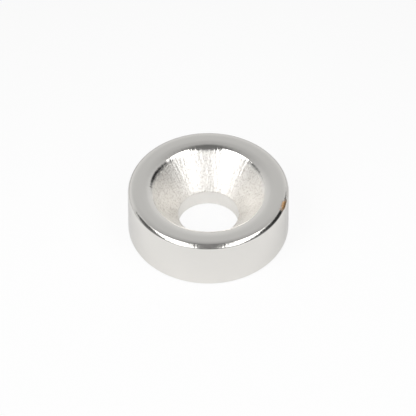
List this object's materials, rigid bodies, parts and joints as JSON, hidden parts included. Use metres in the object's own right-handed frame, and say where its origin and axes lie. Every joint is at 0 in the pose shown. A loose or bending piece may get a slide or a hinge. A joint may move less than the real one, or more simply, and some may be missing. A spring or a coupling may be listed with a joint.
{
  "type": "countersunk ring magnet",
  "caption": "Nickel-plated sintered ring magnet with a countersunk screw hole and rounded edges.",
  "frame": {"origin": "centre of the flat bottom face, on the ring's axis", "axes": "+Z along the ring's axis, from the flat bottom face up to the countersunk face; X and Y are any two diameters"},
  "size_m": [0.012, 0.012, 0.0041],
  "materials": {
    "nickel_plate": "bright nickel plate over a ground and tumbled magnet, satin on the faces and grainy in the countersink"
  },
  "bodies": {
    "root": {"ring_magnet": "nickel_plate"}
  },
  "joints": []
}
